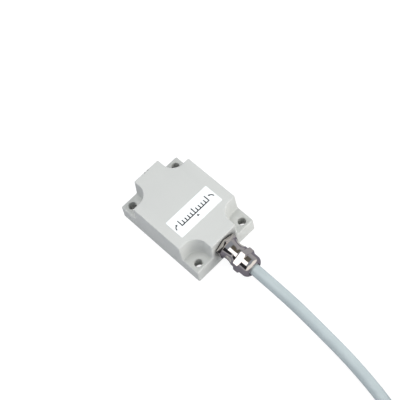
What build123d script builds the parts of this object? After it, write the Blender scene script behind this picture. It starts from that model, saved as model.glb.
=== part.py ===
from build123d import *
import os
from math import cos, pi, radians, sin, sqrt, tan

# Tilt sensor in a moulded housing with a cable gland, in millimetres.
# The origin is the centre of the four mounting holes on the underside. +Z is up, the gland points along -Y.

# Housing moulding
WALL = 3.3
TOP_WALL = 3.0
WALL_DRAFT = 1.0
BASE_CORNER_RADIUS = 3.0
TOP_EDGE_RADIUS = 0.8
RIM_EDGE_RADIUS = 1.0
HEADROOM = 2.8

# Lugs and the notches over them
LUG_HEIGHT = 13.5
HOLE_INSET_X = 6.8
HOLE_INSET_Y = 6.1
HOLE_RADIUS = 3.25
HOLE_CHAMFER = 0.4
HOLE_TO_TONGUE = 9.6
HOLE_TO_SHOULDER = 10.1
NOTCH_RADIUS = 9.6
NOTCH_DRAFT = 3.4
NOTCH_FLOOR_RADIUS = 1.4
CAVITY_DRAFT = 1.0
CAVITY_MARGIN = 0.5
CAVITY_CORNER_RADIUS = 8.0
CAVITY_EDGE_RADIUS = 2.0

# Resin that closes the open underside
RESIN_RECESS = 0.6
RESIN_TOP = 12.0

# Label
LABEL_WIDTH = 42.4
LABEL_DEPTH = 17.8
LABEL_CENTRE_Y = -11.0
LABEL_THICKNESS = 0.15
LABEL_CORNER_RADIUS = 0.5

# Circuit board and its fixing. The housing is as large as the board and its parts need.
BOARD_WIDTH = 49.6
BOARD_LENGTH = 40.2
BOARD_GAP = 1.4
BOARD_THICKNESS = 1.6
BOARD_TOP = 19.0
BOARD_CORNER_RADIUS = 2.0
SCREW_INSET = 3.5
SCREW_RADIUS = 1.5
SCREW_LENGTH = 6.0
SCREW_HEAD_RADIUS = 2.75
SCREW_HEAD_HEIGHT = 1.8
SCREW_RECESS_RADIUS = 0.9
SCREW_CLEARANCE = 0.05
PILOT_SPARE_DEPTH = 0.5
POST_WALL = 1.65
BOARD_HOLE_CLEARANCE = 0.2

# Cable gland, measured outwards from its seat on the front wall
GLAND_HEIGHT = 17.0
GLAND_SEAT_DEPTH = 0.5
GLAND_SEAT_MARGIN = 0.5
GLAND_TURN = 2.0
SHANK_RADIUS = 8.0
SHANK_LENGTH = 8.5
SHANK_CLEARANCE = 0.05
GASKET_THICKNESS = 0.8
GASKET_RADIUS = 9.1
ACROSS_FLATS = 18.0
FLANGE_THICKNESS = 3.4
WAIST_RADIUS = 7.6
WAIST_END_RADIUS = 8.5
BEAD_RADIUS = 8.7
BEAD_START = 13.4
BEAD_END = 16.5
BEAD_ROUND = 0.6
NUT_THREAD_WALL = 1.3
NUT_THREAD_LENGTH = 6.5
GLAND_BORE_CLEARANCE = 0.5
CHAMBER_START = 11.0

# Cap nut
NUT_GAP = 0.4
COLLAR_LENGTH = 4.8
COLLAR_TURN = 5.0
BARREL_RADIUS = 8.9
BARREL_LENGTH = 4.4
NOSE_LENGTH = 4.2
NOSE_BULGE = 0.65
NOSE_LIP_WALL = 1.3
NUT_BORE_CLEARANCE = 0.5
THREAD_CLEARANCE = 0.25
NUT_LIP_LENGTH = 1.4
SHOULDER_WIDTH = 1.4
HEX_CHAMFER_RISE = 0.9
HEX_CORNER_SPARE = 0.2

# Clamping parts inside the gland
INSERT_CLEARANCE = 0.1
INSERT_WALL = 0.85
INSERT_FLANGE_INSET = 0.3
INSERT_FLANGE_THICKNESS = 1.0
FINGER_COUNT = 8
FINGER_LENGTH = 3.0
FINGER_ROOT_WALL = 1.05
FINGER_CLEARANCE = 0.3
FINGER_SLOT = 0.7
SEAL_CLEARANCE = 0.05
SEAL_WALL = 0.75
SEAL_PROUD = 2.4
SEAL_GROOVES = 3
SEAL_FIRST_GROOVE = 2.0
SEAL_GROOVE_DEPTH = 0.35
SEAL_GROOVE_WIDTH = 1.2
RING_CLEARANCE = 0.3
RING_THICKNESS = 1.6
RING_WALL = 0.6

# Cable
CABLE_DIAMETER = 9.0
JACKET_INNER_LENGTH = 10.5
JACKET_WALL = 0.8
CABLE_START_DEPTH = 3.0
SHIELD_LENGTH = 3.0
CORE_RADIUS = 0.75
CORE_CIRCLE_RADIUS = 2.1
CORE_COLOURS = ["brown", "white", "blue", "black", "grey"]
PAD_ORDER = [2, 1, 0, 4, 3]
CORE_STRAIGHT = 1.5
PAD_PITCH = 3.2
PAD_INSET = 3.5
PAD_RADIUS = 1.2
PAD_HEIGHT = 0.6

# Parts on the board. Places are (x, y) from the board's centre, sizes are length, width and height.
PACKAGE_STANDOFF = 0.15
PACKAGE_EDGE = 0.25
PACKAGE_LEAD_REACH = 1.1
LEAD_THICKNESS = 0.2
SENSOR_CORNER = (-1.5, 0.7)
SENSOR_SIZE = (11.0, 15.4, 5.0)
SENSOR_LEAD_COUNT = 6
SENSOR_LEAD_PITCH = 2.0
CONTROLLER_PLACE = (6.4, 5.6)
CONTROLLER_SIZE = (7.0, 7.0, 1.4)
CONTROLLER_LEAD_COUNT = 8
CONTROLLER_LEAD_PITCH = 0.8
DRIVER_PLACE = (7.4, -5.4)
DRIVER_SIZE = (3.9, 4.9, 1.6)
DRIVER_LEAD_COUNT = 4
DRIVER_LEAD_PITCH = 1.27
REGULATOR_PLACE = (-2.0, -4.8)
REGULATOR_SIZE = (6.5, 6.1, 2.3)
REGULATOR_TAB = (5.4, 6.4, 0.5)
REGULATOR_TAB_SHIFT = 1.4
REGULATOR_LEAD = (0.8, 2.6, 0.5)
REGULATOR_LEAD_SPACING = 4.6
INDUCTOR_PLACE = (-9.6, -5.2)
INDUCTOR_SIDE = 6.4
INDUCTOR_HEIGHT = 3.0
INDUCTOR_FLANGE = 0.85
INDUCTOR_CORE_RADIUS = 2.3
CAN_INSET = 4.3
CAN_Y = -3.0
CAN_BASE_SIDE = 6.6
CAN_BASE_HEIGHT = 0.9
CAN_RADIUS = 3.15
CAN_HEIGHT = 5.8
CAN_GROOVE_HEIGHT = 2.0
CAN_GROOVE_DEPTH = 0.35
CORNER_CUT = 1.2
CRYSTAL_PLACE = (7.6, 13.6)
CRYSTAL_BASE = (11.4, 4.7, 0.6)
CRYSTAL_CAN = (10.4, 3.8, 2.9)
CAN_EDGE = 0.4
DIODE_SIZE = (4.4, 3.6, 2.0)
DIODE_STRAP = (5.4, 2.0, 0.2)
DIODE_SPACING = 22.0
DIODE_INSET = 4.5
CHIP_LENGTH = 2.0
CHIP_WIDTH = 1.3
CHIP_STEP = 0.05
CAPACITOR_HEIGHT = 1.1
RESISTOR_HEIGHT = 0.6
CHIP_COLUMN_INSET = 5.0
CHIP_PITCH = 2.6
LEFT_CAPACITORS = 3
LEFT_CAPACITORS_START = 3.0
RIGHT_RESISTORS = 4
RIGHT_RESISTORS_START = -5.6
RIGHT_CAPACITORS = 2
INNER_CAPACITORS = [(2.8, -6.0), (13.2, -6.0)]
INNER_RESISTORS = [(2.8, -3.4), (13.2, -3.4), (13.2, -0.8)]

# Route of the free cable on the ground, up to its coil
GROUND_GAP = 0.1
COIL_START = (-23.1, -245.7)
COIL_START_TURN = 18.0
COIL_MEAN_RADIUS = 43.5
COIL_TOP_START = 640.0
COIL_TOP_END = 935.0

# Free end of the cable
SLEEVE_STEP = 0.2
SLEEVE_LENGTH = 18.0
SLEEVE_TIP_WALL = 0.35
LEAD_STRAIGHT = 4.0
LEAD_PITCH = 2.6
LEAD_TURNS = [36.0, 48.0]
FERRULE_RADIUS = 0.6
FERRULE_COLLAR_RADIUS = 1.2
FERRULE_COLLAR_LENGTH = 3.0
FERRULE_LENGTH = 9.0

CORNERS = [(-1, -1), (1, -1), (-1, 1), (1, 1)]
CAVITY_HALF_WIDTH = BOARD_WIDTH / 2 + BOARD_GAP
CAVITY_HALF_LENGTH = BOARD_LENGTH / 2 + BOARD_GAP
SHOULDER_HALF_LENGTH = CAVITY_HALF_LENGTH + WALL + 2 * CAVITY_MARGIN
HOUSING_WIDTH = 2 * (CAVITY_HALF_WIDTH + CAVITY_MARGIN + WALL)
HOUSING_LENGTH = 2 * (SHOULDER_HALF_LENGTH + HOLE_TO_SHOULDER + HOLE_INSET_Y)
HOUSING_HEIGHT = BOARD_TOP + CAN_HEIGHT + HEADROOM + TOP_WALL
HOLE_X = HOUSING_WIDTH / 2 - HOLE_INSET_X
HOLE_Y = HOUSING_LENGTH / 2 - HOLE_INSET_Y
TONGUE_HALF_WIDTH = HOLE_X - HOLE_TO_TONGUE
SCREW_X = BOARD_WIDTH / 2 - SCREW_INSET
SCREW_Y = BOARD_LENGTH / 2 - SCREW_INSET
PAD_Y = PAD_INSET - BOARD_LENGTH / 2
SENSOR_PLACE = (SENSOR_CORNER[0] - SENSOR_SIZE[0] / 2, SENSOR_CORNER[1] + SENSOR_SIZE[1] / 2)
CAN_PLACE = (CAN_INSET - BOARD_WIDTH / 2, CAN_Y)
CHIP_COLUMN = BOARD_WIDTH / 2 - CHIP_COLUMN_INSET
CABLE_RADIUS = CABLE_DIAMETER / 2
HEXAGON_CORNER = ACROSS_FLATS / 2 / cos(pi / 6)
GLAND_SEAT_RADIUS = HEXAGON_CORNER + GLAND_SEAT_MARGIN
SEAL_RADIUS = CABLE_RADIUS + SEAL_CLEARANCE + SEAL_WALL
INSERT_BORE_RADIUS = SEAL_RADIUS + SEAL_CLEARANCE
INSERT_RADIUS = INSERT_BORE_RADIUS + INSERT_WALL
CHAMBER_RADIUS = INSERT_RADIUS + INSERT_CLEARANCE
NUT_THREAD_RADIUS = CHAMBER_RADIUS + NUT_THREAD_WALL
NUT_MOUTH_RADIUS = CABLE_RADIUS + NUT_BORE_CLEARANCE
INSERT_FLANGE_RADIUS = NUT_THREAD_RADIUS - INSERT_FLANGE_INSET
GLAND_SEAT_Y = GLAND_SEAT_DEPTH - HOUSING_LENGTH / 2
GLAND_PLANE = Plane(origin=(0, GLAND_SEAT_Y, GLAND_HEIGHT), x_dir=(1, 0, 0), z_dir=(0, -1, 0))
FLANGE_END = GASKET_THICKNESS + FLANGE_THICKNESS
NUT_START = BEAD_END + NUT_GAP
COLLAR_END = NUT_START + COLLAR_LENGTH
BARREL_END = COLLAR_END + BARREL_LENGTH
NUT_END = BARREL_END + NOSE_LENGTH
THREAD_END = BEAD_END + NUT_THREAD_LENGTH
INSERT_FLANGE_END = THREAD_END + INSERT_CLEARANCE + INSERT_FLANGE_THICKNESS
RING_START = INSERT_FLANGE_END + RING_CLEARANCE
NUT_SHOULDER = RING_START + RING_THICKNESS + RING_CLEARANCE
CABLE_START = NUT_END - CABLE_START_DEPTH
CABLE_GROUND_Z = CABLE_RADIUS + GROUND_GAP
COIL_OUTER_TURN_RADIUS = COIL_MEAN_RADIUS + CABLE_RADIUS
COIL_TOP_TURN_Z = CABLE_GROUND_Z + CABLE_DIAMETER * (sqrt(2) - 1 / 2)
COIL_X = COIL_START[0] + COIL_OUTER_TURN_RADIUS * cos(radians(COIL_START_TURN))
COIL_Y = COIL_START[1] - COIL_OUTER_TURN_RADIUS * sin(radians(COIL_START_TURN))


def rod(radius, start, end):
    """Round solid on the local Z axis between two stations."""
    return Pos(0, 0, start) * extrude(Circle(radius), end - start)


def ring(outer, inner, start, end):
    """Tube round the local Z axis between two stations."""
    return Pos(0, 0, start) * extrude(Circle(outer) - Circle(inner), end - start)


def turned(points):
    """Solid turned from a closed outline of (radius, station) points with straight sides."""
    outline = Polyline(*[(r, 0, s) for r, s in points], close=True)
    return revolve(make_face(outline), Axis.Z)


def block(size):
    """Box of (length, width, height) standing on the local XY plane."""
    return Box(*size, align=(Align.CENTER, Align.CENTER, Align.MIN))


def hexagon(start, end, turn):
    """Hexagon between two stations, its corners turned down to a 30 degree cone at both ends."""
    prism = Pos(0, 0, start) * extrude(
        Rot(0, 0, 30 + turn) * RegularPolygon(HEXAGON_CORNER, 6), end - start)
    widest = HEXAGON_CORNER + HEX_CORNER_SPARE
    narrow = widest - HEX_CHAMFER_RISE / tan(radians(30))
    cone = turned([
        (0, start), (narrow, start), (widest, start + HEX_CHAMFER_RISE),
        (widest, end - HEX_CHAMFER_RISE), (narrow, end), (0, end)])
    return prism & cone


def cavity_plan():
    """Plan of the hollow: the tower's plan one wall further in, short of the gland port at the front."""
    front = GLAND_SEAT_Y + SHANK_LENGTH
    rear = HOUSING_LENGTH / 2 - WALL
    tongue_width = 2 * (TONGUE_HALF_WIDTH - WALL - 2 * CAVITY_MARGIN)
    tongue = Pos(0, (front + rear) / 2) * Rectangle(tongue_width, rear - front)
    plan = tongue + Rectangle(2 * CAVITY_HALF_WIDTH, 2 * CAVITY_HALF_LENGTH)
    inner = [v for v in plan.vertices()
             if abs(v.X) < TONGUE_HALF_WIDTH and abs(v.Y) < SHOULDER_HALF_LENGTH]
    plan = fillet(inner, CAVITY_CORNER_RADIUS)
    outer = [v for v in plan.vertices() if abs(v.X) > CAVITY_HALF_WIDTH - 0.01]
    return fillet(outer, CAVITY_EDGE_RADIUS)


def make_cavity():
    return extrude(cavity_plan(), HOUSING_HEIGHT - TOP_WALL, taper=CAVITY_DRAFT)


def make_housing():
    plan = RectangleRounded(HOUSING_WIDTH, HOUSING_LENGTH, BASE_CORNER_RADIUS)
    body = extrude(plan, HOUSING_HEIGHT, taper=WALL_DRAFT)
    tower = HOUSING_HEIGHT - LUG_HEIGHT
    reach = HOUSING_WIDTH / 2
    for sx, sy in CORNERS:
        notch = Pos(sx * (TONGUE_HALF_WIDTH + reach / 2), sy * (SHOULDER_HALF_LENGTH + reach / 2)) \
            * Rectangle(reach, reach)
        inner_corner = notch.vertices().sort_by_distance((0, 0, 0))[0]
        notch = fillet(inner_corner, NOTCH_RADIUS)
        body -= Pos(0, 0, LUG_HEIGHT) * extrude(notch, tower + 1, taper=-NOTCH_DRAFT)

    # the notch floors run into their walls, and the sharp rims and the top edge are eased
    inset = BASE_CORNER_RADIUS
    floor_edges = [
        e for e in body.edges()
        if abs(e.center().Z - LUG_HEIGHT) < 0.01
        and abs(e.center().X) < HOUSING_WIDTH / 2 - inset
        and abs(e.center().Y) < HOUSING_LENGTH / 2 - inset]
    body = fillet(floor_edges, NOTCH_FLOOR_RADIUS)
    outer = BASE_CORNER_RADIUS / 2
    rim_edges = [
        e for e in body.edges()
        if LUG_HEIGHT - 0.01 < e.center().Z < HOUSING_HEIGHT - 0.5
        and (abs(e.center().X) > HOUSING_WIDTH / 2 - outer or abs(e.center().Y) > HOUSING_LENGTH / 2 - outer)]
    body = fillet(rim_edges, RIM_EDGE_RADIUS)
    body = fillet(body.faces().sort_by(Axis.Z)[-1].edges(), TOP_EDGE_RADIUS)

    body -= make_cavity()
    hole = rod(HOLE_RADIUS, -1, LUG_HEIGHT + 1)
    mouth = turned([
        (0, LUG_HEIGHT - HOLE_CHAMFER), (HOLE_RADIUS, LUG_HEIGHT - HOLE_CHAMFER),
        (HOLE_RADIUS + 2 * HOLE_CHAMFER, LUG_HEIGHT + HOLE_CHAMFER), (0, LUG_HEIGHT + HOLE_CHAMFER)])
    for sx, sy in CORNERS:
        body -= Pos(sx * HOLE_X, sy * HOLE_Y) * (hole + mouth)

    # gland port: a flat seat sunk in the drafted front wall, and the hole for the threaded shank
    body -= GLAND_PLANE * rod(GLAND_SEAT_RADIUS, 0, 2 * GLAND_SEAT_DEPTH)
    body -= GLAND_PLANE * rod(SHANK_RADIUS + SHANK_CLEARANCE, -SHANK_LENGTH - 1, 1)

    # posts that carry the board, with blind holes for its screws
    pilot_radius = SCREW_RADIUS + SCREW_CLEARANCE
    pilot_end = BOARD_TOP + SCREW_LENGTH - BOARD_THICKNESS + PILOT_SPARE_DEPTH
    post = rod(pilot_radius + POST_WALL, BOARD_TOP, HOUSING_HEIGHT - TOP_WALL / 2)
    pilot = rod(pilot_radius, BOARD_TOP - 1, pilot_end)
    for sx, sy in CORNERS:
        body += Pos(sx * SCREW_X, sy * SCREW_Y) * post
        body -= Pos(sx * SCREW_X, sy * SCREW_Y) * pilot
    return body


def make_potting():
    """Resin cast into the mouth of the housing, a little short of the base."""
    level = Pos(0, 0, RESIN_RECESS) * block((HOUSING_WIDTH, HOUSING_LENGTH, RESIN_TOP - RESIN_RECESS))
    return make_cavity() & level


def make_label():
    plan = RectangleRounded(LABEL_WIDTH, LABEL_DEPTH, LABEL_CORNER_RADIUS)
    return Pos(0, LABEL_CENTRE_Y, HOUSING_HEIGHT) * extrude(plan, LABEL_THICKNESS)


def make_circuit_board():
    board = Pos(0, 0, BOARD_TOP - BOARD_THICKNESS) * extrude(
        RectangleRounded(BOARD_WIDTH, BOARD_LENGTH, BOARD_CORNER_RADIUS), BOARD_THICKNESS)
    hole = rod(SCREW_RADIUS + BOARD_HOLE_CLEARANCE, 0, HOUSING_HEIGHT)
    for sx, sy in CORNERS:
        board -= Pos(sx * SCREW_X, sy * SCREW_Y) * hole
    return board


def make_board_screws():
    """Four pan-head screws, driven up through the board into the posts."""
    under = BOARD_TOP - BOARD_THICKNESS
    head = rod(SCREW_HEAD_RADIUS, under - SCREW_HEAD_HEIGHT, under)
    head = chamfer(head.edges().sort_by(Axis.Z)[0], SCREW_HEAD_HEIGHT / 2)
    recess = Pos(0, 0, under - SCREW_HEAD_HEIGHT) * extrude(
        RegularPolygon(SCREW_RECESS_RADIUS, 6), SCREW_HEAD_HEIGHT / 2)
    screw = head + rod(SCREW_RADIUS, under, under + SCREW_LENGTH) - recess
    return [Pos(sx * SCREW_X, sy * SCREW_Y) * screw for sx, sy in CORNERS]


def on_board(place, shape, turn=0):
    return Pos(place[0], place[1], BOARD_TOP) * Rot(0, 0, turn) * shape


def leaded_package(size, leads, pitch, sides):
    """Moulded chip package with bent flat leads on each of the sides named by their directions in degrees."""
    length, width, height = size
    body = Pos(0, 0, PACKAGE_STANDOFF) * block((length, width, height - PACKAGE_STANDOFF))
    body = chamfer(body.edges().group_by(Axis.Z)[-1], PACKAGE_EDGE)
    reach = PACKAGE_LEAD_REACH
    knee = reach / 2
    shoulder = height / 2
    side = Polyline(
        (0, 0), (reach, 0), (reach, LEAD_THICKNESS), (knee, LEAD_THICKNESS),
        (knee, shoulder + LEAD_THICKNESS), (-PACKAGE_EDGE, shoulder + LEAD_THICKNESS),
        (-PACKAGE_EDGE, shoulder), (knee - LEAD_THICKNESS, shoulder),
        (knee - LEAD_THICKNESS, LEAD_THICKNESS), (0, LEAD_THICKNESS), close=True)
    lead = extrude(Plane.XZ * make_face(side), pitch / 4, both=True)
    for k in range(leads):
        shift = (k - (leads - 1) / 2) * pitch
        for turn in sides:
            half = length / 2 if turn in (0, 180) else width / 2
            body += Rot(0, 0, turn) * Pos(half, shift, 0) * lead
    return body


def make_voltage_regulator():
    """Power package on its soldered metal tab, with two flat leads at the front."""
    length, width, height = REGULATOR_SIZE
    body = Pos(0, 0, REGULATOR_TAB[2] / 2) * block((length, width, height - REGULATOR_TAB[2] / 2))
    body = chamfer(body.edges().group_by(Axis.Z)[-1], PACKAGE_EDGE)
    body += Pos(0, REGULATOR_TAB_SHIFT, 0) * block(REGULATOR_TAB)
    for side in (-1, 1):
        front = -(width + REGULATOR_LEAD[1]) / 2 + PACKAGE_EDGE
        body += Pos(side * REGULATOR_LEAD_SPACING / 2, front, 0) * block(REGULATOR_LEAD)
    return body


def make_inductor():
    """Ferrite drum: square flanges with cut corners above and below the groove of the winding."""
    core = extrude(chamfer(Rectangle(INDUCTOR_SIDE, INDUCTOR_SIDE).vertices(), CORNER_CUT), INDUCTOR_HEIGHT)
    groove_top = INDUCTOR_HEIGHT - INDUCTOR_FLANGE
    return core - ring(INDUCTOR_SIDE, INDUCTOR_CORE_RADIUS, INDUCTOR_FLANGE, groove_top)


def make_buffer_capacitor():
    """Aluminium can with its crimped groove, on a base with two cut corners."""
    square = Rectangle(CAN_BASE_SIDE, CAN_BASE_SIDE)
    base = extrude(chamfer(square.vertices().sort_by(Axis.X)[2:], CORNER_CUT), CAN_BASE_HEIGHT)
    depth = CAN_GROOVE_DEPTH
    can = turned([
        (0, CAN_BASE_HEIGHT), (CAN_RADIUS, CAN_BASE_HEIGHT), (CAN_RADIUS, CAN_GROOVE_HEIGHT - depth),
        (CAN_RADIUS - depth, CAN_GROOVE_HEIGHT), (CAN_RADIUS, CAN_GROOVE_HEIGHT + depth),
        (CAN_RADIUS, CAN_HEIGHT - CAN_EDGE), (CAN_RADIUS - CAN_EDGE, CAN_HEIGHT), (0, CAN_HEIGHT)])
    return base + can


def make_quartz_crystal():
    """Pressed oblong can on a flanged base."""
    base = extrude(RectangleRounded(*CRYSTAL_BASE[:2], CRYSTAL_BASE[1] / 2 - CHIP_STEP), CRYSTAL_BASE[2])
    can = Pos(0, 0, CRYSTAL_BASE[2]) * extrude(
        RectangleRounded(*CRYSTAL_CAN[:2], CRYSTAL_CAN[1] / 2 - CHIP_STEP), CRYSTAL_CAN[2])
    return base + chamfer(can.edges().group_by(Axis.Z)[-1], CAN_EDGE)


def end_capped_chip(height):
    """Small rectangular part whose two metal ends stand proud of its body."""
    body = block((CHIP_LENGTH, CHIP_WIDTH - 2 * CHIP_STEP, height - CHIP_STEP))
    cap = block((CHIP_LENGTH / 4, CHIP_WIDTH, height))
    shift = CHIP_LENGTH * 3 / 8
    return body + Pos(shift, 0, 0) * cap + Pos(-shift, 0, 0) * cap


def chip_column(chip, x, start, count):
    return [on_board((x, start + k * CHIP_PITCH), chip) for k in range(count)]


def make_chip_capacitors():
    """One column near the left edge, one at the right behind the resistors, and two beside the driver."""
    chip = end_capped_chip(CAPACITOR_HEIGHT)
    right_start = RIGHT_RESISTORS_START + RIGHT_RESISTORS * CHIP_PITCH
    inner = [on_board(place, chip, 90) for place in INNER_CAPACITORS]
    return chip_column(chip, -CHIP_COLUMN, LEFT_CAPACITORS_START, LEFT_CAPACITORS) \
        + chip_column(chip, CHIP_COLUMN, right_start, RIGHT_CAPACITORS) + inner


def make_chip_resistors():
    chip = end_capped_chip(RESISTOR_HEIGHT)
    inner = [on_board(place, chip, 90) for place in INNER_RESISTORS]
    return chip_column(chip, CHIP_COLUMN, RIGHT_RESISTORS_START, RIGHT_RESISTORS) + inner


def make_surge_diodes():
    body = Pos(0, 0, DIODE_STRAP[2]) * block(DIODE_SIZE)
    body = chamfer(body.edges().group_by(Axis.Z)[-1], PACKAGE_EDGE) + block(DIODE_STRAP)
    y = DIODE_INSET - BOARD_LENGTH / 2
    return [on_board((side * DIODE_SPACING / 2, y), body) for side in (-1, 1)]


def make_gland_gasket():
    """Flat rubber ring between the gland's flange and the front wall."""
    return GLAND_PLANE * ring(GASKET_RADIUS, SHANK_RADIUS + SHANK_CLEARANCE, 0, GASKET_THICKNESS)


def make_gland_body():
    """Hexagon flange, polished waist and bead, the shank in the wall and the thread under the cap nut."""
    flange = hexagon(GASKET_THICKNESS, FLANGE_END, GLAND_TURN)
    waist = ThreePointArc(
        (WAIST_END_RADIUS, 0, FLANGE_END), (WAIST_RADIUS, 0, (FLANGE_END + BEAD_START) / 2),
        (WAIST_END_RADIUS, 0, BEAD_START))
    rest = Polyline(
        (WAIST_END_RADIUS, 0, BEAD_START), (0, 0, BEAD_START), (0, 0, -SHANK_LENGTH),
        (SHANK_RADIUS, 0, -SHANK_LENGTH), (SHANK_RADIUS, 0, FLANGE_END), (WAIST_END_RADIUS, 0, FLANGE_END))
    body = flange + revolve(make_face(waist + rest), Axis.Z)
    bead = rod(BEAD_RADIUS, BEAD_START, BEAD_END)
    body += fillet(bead.edges(), BEAD_ROUND)
    body += rod(NUT_THREAD_RADIUS, BEAD_END, THREAD_END)
    body -= rod(CABLE_RADIUS + GLAND_BORE_CLEARANCE, -SHANK_LENGTH - 1, CHAMBER_START)
    body -= rod(CHAMBER_RADIUS, CHAMBER_START, THREAD_END + 1)
    return body


def nut_cone_radius(station):
    """Radius of the nut's inner cone, which presses the fingers inwards, at a station past its shoulder."""
    wide = NUT_THREAD_RADIUS + THREAD_CLEARANCE - SHOULDER_WIDTH
    along = (station - NUT_SHOULDER) / (NUT_END - NUT_LIP_LENGTH - NUT_SHOULDER)
    return wide + (NUT_MOUTH_RADIUS - wide) * along


def make_cap_nut():
    """Hexagon collar, turned barrel and domed nose. Inside: thread, shoulder, cone and the cable's mouth."""
    collar = hexagon(NUT_START, COLLAR_END, COLLAR_TURN)
    nose_end_radius = NUT_MOUTH_RADIUS + NOSE_LIP_WALL
    crown = ((BARREL_RADIUS + nose_end_radius) / 2 + NOSE_BULGE, 0,
             BARREL_END + (NOSE_LENGTH + NOSE_BULGE) / 2)
    dome = ThreePointArc((BARREL_RADIUS, 0, BARREL_END), crown, (nose_end_radius, 0, NUT_END))
    rest = Polyline(
        (nose_end_radius, 0, NUT_END), (0, 0, NUT_END), (0, 0, NUT_START + 1),
        (BARREL_RADIUS, 0, NUT_START + 1), (BARREL_RADIUS, 0, BARREL_END))
    nut = collar + revolve(make_face(dome + rest), Axis.Z)
    bore = NUT_THREAD_RADIUS + THREAD_CLEARANCE
    nut -= turned([
        (0, NUT_START - 1), (bore, NUT_START - 1), (bore, NUT_SHOULDER),
        (nut_cone_radius(NUT_SHOULDER), NUT_SHOULDER), (NUT_MOUTH_RADIUS, NUT_END - NUT_LIP_LENGTH),
        (NUT_MOUTH_RADIUS, NUT_END + 1), (0, NUT_END + 1)])
    return nut


def make_thrust_ring():
    inner = INSERT_FLANGE_RADIUS - RING_WALL
    return ring(INSERT_FLANGE_RADIUS, inner, RING_START, RING_START + RING_THICKNESS)


def make_clamp_insert():
    """Sleeve with a flange on the gland body's end and fingers that the cap nut presses on the seal."""
    sleeve_start = CHAMBER_START + INSERT_CLEARANCE
    flange_start = THREAD_END + INSERT_CLEARANCE
    root = INSERT_BORE_RADIUS + FINGER_ROOT_WALL
    tip = INSERT_FLANGE_END + FINGER_LENGTH
    insert = turned([
        (INSERT_BORE_RADIUS, sleeve_start), (INSERT_RADIUS, sleeve_start), (INSERT_RADIUS, flange_start),
        (INSERT_FLANGE_RADIUS, flange_start), (INSERT_FLANGE_RADIUS, INSERT_FLANGE_END),
        (root, INSERT_FLANGE_END), (nut_cone_radius(tip) - FINGER_CLEARANCE, tip), (INSERT_BORE_RADIUS, tip)])
    slot = Pos(root, 0, INSERT_FLANGE_END) * block((3 * FINGER_ROOT_WALL, FINGER_SLOT, FINGER_LENGTH + 1))
    for k in range(FINGER_COUNT):
        insert -= Rot(0, 0, 360 * k / FINGER_COUNT) * slot
    return insert


def make_cable_seal():
    """Rubber sleeve on the cable inside the clamping insert, with grip grooves in its bore."""
    inner = CABLE_RADIUS + SEAL_CLEARANCE
    end = INSERT_FLANGE_END + SEAL_PROUD
    seal = ring(SEAL_RADIUS, inner, CHAMBER_START + INSERT_CLEARANCE, end)
    first = CHAMBER_START + SEAL_FIRST_GROOVE
    for k in range(SEAL_GROOVES):
        station = first + k * (end - first) / SEAL_GROOVES
        seal -= ring(inner + SEAL_GROOVE_DEPTH, inner / 2, station, station + SEAL_GROOVE_WIDTH)
    return seal


def core_route(index):
    """Points of one core in the housing, from the cable's end up over the board and down on its pad."""
    angle = radians(90 + 360 * index / len(CORE_COLOURS))
    x = CORE_CIRCLE_RADIUS * cos(angle)
    z = GLAND_HEIGHT + CORE_CIRCLE_RADIUS * sin(angle)
    start = GLAND_SEAT_Y + JACKET_INNER_LENGTH + SHIELD_LENGTH
    pad_x = pad_places()[PAD_ORDER[index]]
    over = BOARD_TOP + PAD_HEIGHT + CORE_RADIUS
    before_board = -BOARD_LENGTH / 2 - CORE_STRAIGHT
    return [(x, start, z), (x, start + CORE_STRAIGHT, z), (pad_x, before_board, over), (pad_x, PAD_Y, over)]


def pad_places():
    middle = (len(CORE_COLOURS) - 1) / 2
    return [(k - middle) * PAD_PITCH for k in range(len(CORE_COLOURS))]


def make_solder_joints():
    """One solder mound for each core, under its end."""
    mound = turned([(0, 0), (PAD_RADIUS, 0), (PAD_RADIUS - PAD_HEIGHT / 2, PAD_HEIGHT), (0, PAD_HEIGHT)])
    return [on_board((x, PAD_Y), mound) for x in pad_places()]


def corner_radii(points):
    """Radius of the arc at each inner point: as large as its two runs allow."""
    radii = []
    for before, here, after in zip(points, points[1:], points[2:]):
        run_in = Vector(*here) - Vector(*before)
        run_out = Vector(*after) - Vector(*here)
        half_turn = radians(run_in.get_angle(run_out)) / 2
        radii.append(0.45 * min(run_in.length, run_out.length) / tan(half_turn))
    return radii


def round_tube(points, radii, radius):
    path = FilletPolyline(*points, radius=radii)
    start = Plane(origin=path @ 0, z_dir=path % 0)
    return sweep(start * Circle(radius), path), path


def make_core(index):
    points = core_route(index)
    tube, path = round_tube(points, corner_radii(points), CORE_RADIUS)
    return tube


def cable_route():
    """Points of the cable's centre line from the cap nut along the ground to its coil."""
    start_y = GLAND_SEAT_Y - CABLE_START
    return [
        (0.0, start_y, GLAND_HEIGHT),
        (0.0, -103.0, GLAND_HEIGHT),
        (-0.5, -137.0, 9.4),
        (-2.5, -171.0, 5.2),
        (-9.5, -209.5, CABLE_GROUND_Z),
        (*COIL_START, CABLE_GROUND_Z)]


def make_cable():
    points = cable_route()
    radii = corner_radii(points)
    print("cable corner radii", [round(r, 1) for r in radii])
    tube, path = round_tube(points, radii, CABLE_RADIUS)
    print("cable tube length", round(path.length, 1), "volume", round(tube.volume, 1),
          "section times length", round(pi * CABLE_RADIUS ** 2 * path.length, 1))
    return tube


def coil_point(turned_by, radius, height):
    """Point over the coil, with the angle in degrees turned since its left side."""
    angle = radians(180 + turned_by)
    return Vector(COIL_X + radius * cos(angle), COIL_Y + radius * sin(angle), height)


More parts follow.
